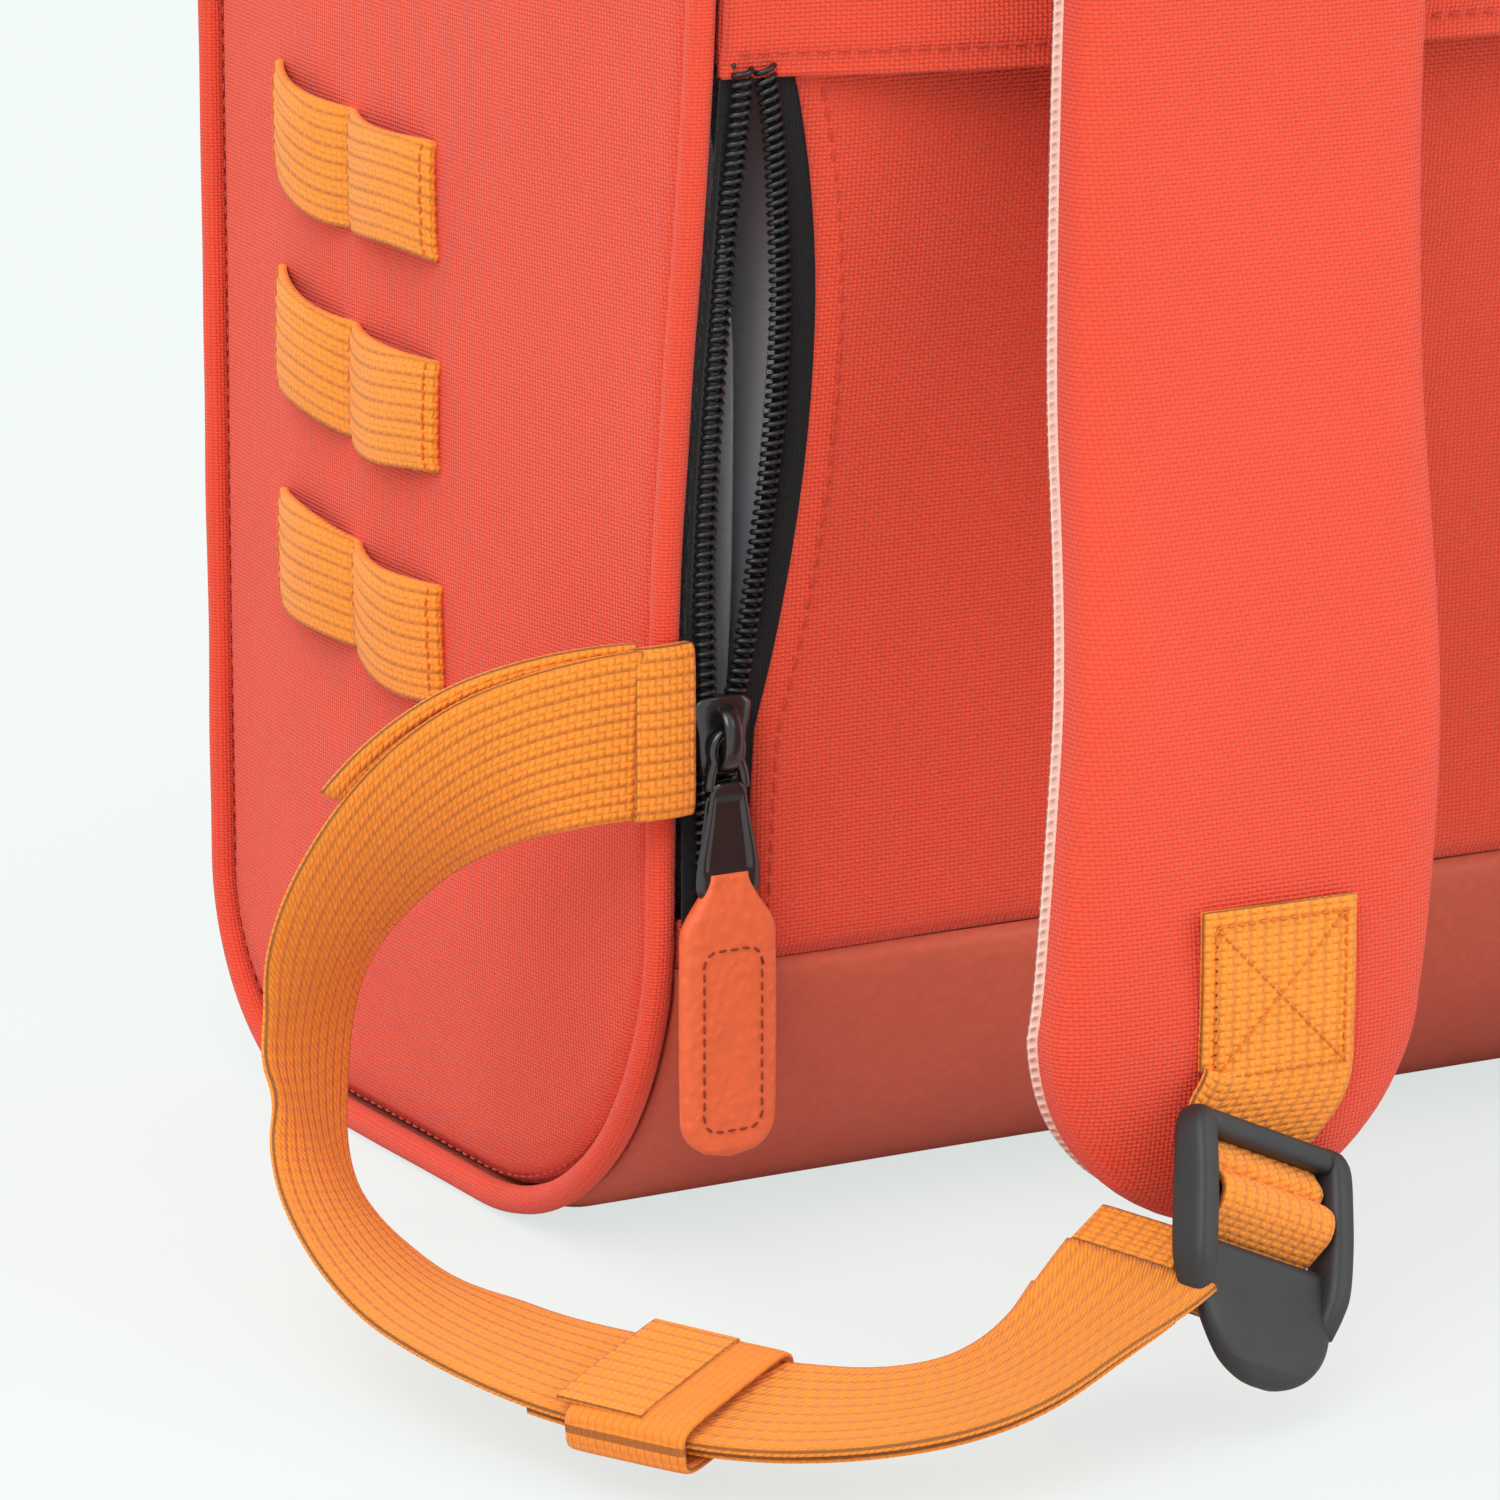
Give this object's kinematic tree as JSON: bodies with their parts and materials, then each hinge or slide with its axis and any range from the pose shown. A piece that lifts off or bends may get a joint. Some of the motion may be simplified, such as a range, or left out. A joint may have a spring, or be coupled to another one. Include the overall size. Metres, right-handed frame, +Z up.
{
  "type": "solar backpack",
  "caption": "Box-shaped canvas backpack with a leather base, zipped side pockets, webbing loops, padded straps and a solar charging panel on its front.",
  "frame": {"origin": "on the floor under the middle of the base", "axes": "+Z up, +Y towards the wearer, with the solar panel facing -Y, and +X the wearer's right"},
  "size_m": [0.3872, 0.2808, 0.464],
  "materials": {
    "canvas": "coral-red woven canvas with a foam backing",
    "base_leather": "pebbled terracotta leather",
    "lining": "grey woven lining",
    "board": "stiffening board",
    "foam": "closed foam",
    "zip_tape": "black zip tape and coil",
    "zip_metal": "black gloss",
    "tag_leather": "grained orange leather",
    "webbing": "orange ribbed webbing",
    "mesh": "pale pink spacer mesh",
    "buckle_plastic": "black acetal",
    "solar_backing": "black laminated backing",
    "solar_cell": "dark blue silicon",
    "solar_film": "clear film",
    "regulator_plastic": "fine texture",
    "circuit": "solder mask",
    "screw_steel": "zinc plated",
    "usb_metal": "plated"
  },
  "bodies": {
    "bag": {"back_foam": "foam", "back_panel": "canvas", "base_board": "board", "carry_handle": "canvas", "front_rim": "canvas", "keeper_left": "webbing", "keeper_right": "webbing", "laptop_divider": "lining", "leather_base": "base_leather", "lining": "lining", "main_zip_bag_half": "zip_tape", "piping_left": "canvas", "piping_right": "canvas", "pocket_bag_left": "lining", "pocket_bag_right": "lining", "pocket_zip_left": "zip_tape", "pocket_zip_right": "zip_tape", "side_loops_left": "webbing", "side_loops_right": "webbing", "side_panel_left": "canvas", "side_panel_right": "canvas", "strap_anchors": "canvas", "strap_webbing_left": "webbing", "strap_webbing_right": "webbing", "top_panel": "canvas", "trolley_sleeve": "canvas", "webbing_ends": "webbing"},
    "front": {"front_panel": "canvas", "main_zip_panel_half": "zip_tape", "front_pocket": "canvas", "front_pocket_zip": "zip_tape", "solar_backing": "solar_backing", "solar_cells": "solar_cell", "solar_cover": "solar_film", "solar_binding": "canvas", "regulator_housing": "regulator_plastic", "regulator_lid": "regulator_plastic", "regulator_screws": "screw_steel", "regulator_board": "circuit", "usb_sockets": "usb_metal"},
    "main_slider_right": {"main_slider_right": "zip_metal"},
    "main_slider_left": {"main_slider_left": "zip_metal"},
    "main_pull_right": {"main_pull_right": "zip_metal"},
    "main_pull_left": {"main_pull_left": "zip_metal"},
    "front_slider": {"front_slider": "zip_metal"},
    "front_pull": {"front_pull": "zip_metal"},
    "pocket_slider_right": {"pocket_slider_right": "zip_metal"},
    "pocket_slider_left": {"pocket_slider_left": "zip_metal"},
    "pocket_pull_right": {"pocket_pull_right": "zip_metal", "pocket_tag_right": "tag_leather"},
    "pocket_pull_left": {"pocket_pull_left": "zip_metal", "pocket_tag_left": "tag_leather"},
    "strap_right": {"strap_pad_right": "canvas", "strap_mesh_right": "mesh", "strap_patch_right": "webbing"},
    "strap_left": {"strap_pad_left": "canvas", "strap_mesh_left": "mesh", "strap_patch_left": "webbing"},
    "buckle_right": {"buckle_right": "buckle_plastic"},
    "buckle_left": {"buckle_left": "buckle_plastic"}
  },
  "joints": [
    {"name": "front_open", "type": "hinge", "parent": "bag", "child": "front", "pos_m": [0, -0.075, 0.06], "axis": [1, 0, 0], "range_deg": [0, 85]},
    {"name": "main_zip_right", "type": "slide", "parent": "front", "child": "main_slider_right", "axis": [1, 0, 0], "range_m": [0, 0.058]},
    {"name": "main_zip_left", "type": "slide", "parent": "front", "child": "main_slider_left", "axis": [-1, 0, 0], "range_m": [0, 0.058]},
    {"name": "main_pull_right_swing", "type": "hinge", "parent": "main_slider_right", "child": "main_pull_right", "pos_m": [0.009, -0.0779, 0.37915], "axis": [-1, 0, 0], "range_deg": [0, 110]},
    {"name": "main_pull_left_swing", "type": "hinge", "parent": "main_slider_left", "child": "main_pull_left", "pos_m": [-0.009, -0.0779, 0.37915], "axis": [-1, 0, 0], "range_deg": [0, 110]},
    {"name": "front_zip", "type": "slide", "parent": "front", "child": "front_slider", "axis": [1, 0, 0], "range_m": [0, 0.12]},
    {"name": "front_pull_swing", "type": "hinge", "parent": "front_slider", "child": "front_pull", "pos_m": [-0.06295, -0.087, 0.3549], "axis": [0, -1, 0], "range_deg": [0, 170]},
    {"name": "pocket_zip_right", "type": "slide", "parent": "bag", "child": "pocket_slider_right", "axis": [0, 0, -1], "range_m": [0, 0.02]},
    {"name": "pocket_zip_left", "type": "slide", "parent": "bag", "child": "pocket_slider_left", "axis": [0, -0.0965, -0.9953], "range_m": [0, 0.104]},
    {"name": "pocket_pull_right_swing", "type": "hinge", "parent": "pocket_slider_right", "child": "pocket_pull_right", "pos_m": [0.1356, 0.07805, 0.08495], "axis": [1, 0, 0], "range_deg": [0, 110]},
    {"name": "pocket_pull_left_swing", "type": "hinge", "parent": "pocket_slider_left", "child": "pocket_pull_left", "pos_m": [-0.13475, 0.08779, 0.16895], "axis": [1, 0, 0], "range_deg": [0, 110]},
    {"name": "strap_right_swing", "type": "hinge", "parent": "bag", "child": "strap_right", "pos_m": [0.053, 0.093, 0.3822], "axis": [1, 0, 0], "range_deg": [0, 15]},
    {"name": "strap_left_swing", "type": "hinge", "parent": "bag", "child": "strap_left", "pos_m": [-0.053, 0.093, 0.3822], "axis": [1, 0, 0], "range_deg": [0, 15]},
    {"name": "buckle_right_tilt", "type": "hinge", "parent": "strap_right", "child": "buckle_right", "pos_m": [0.09266, 0.15337, 0.03825], "axis": [0.8763, 0.2425, 0.4162], "range_deg": [0, 30]},
    {"name": "buckle_left_tilt", "type": "hinge", "parent": "strap_left", "child": "buckle_left", "pos_m": [-0.09266, 0.15337, 0.03825], "axis": [0.8763, -0.2425, -0.4162], "range_deg": [0, 30]}
  ]
}
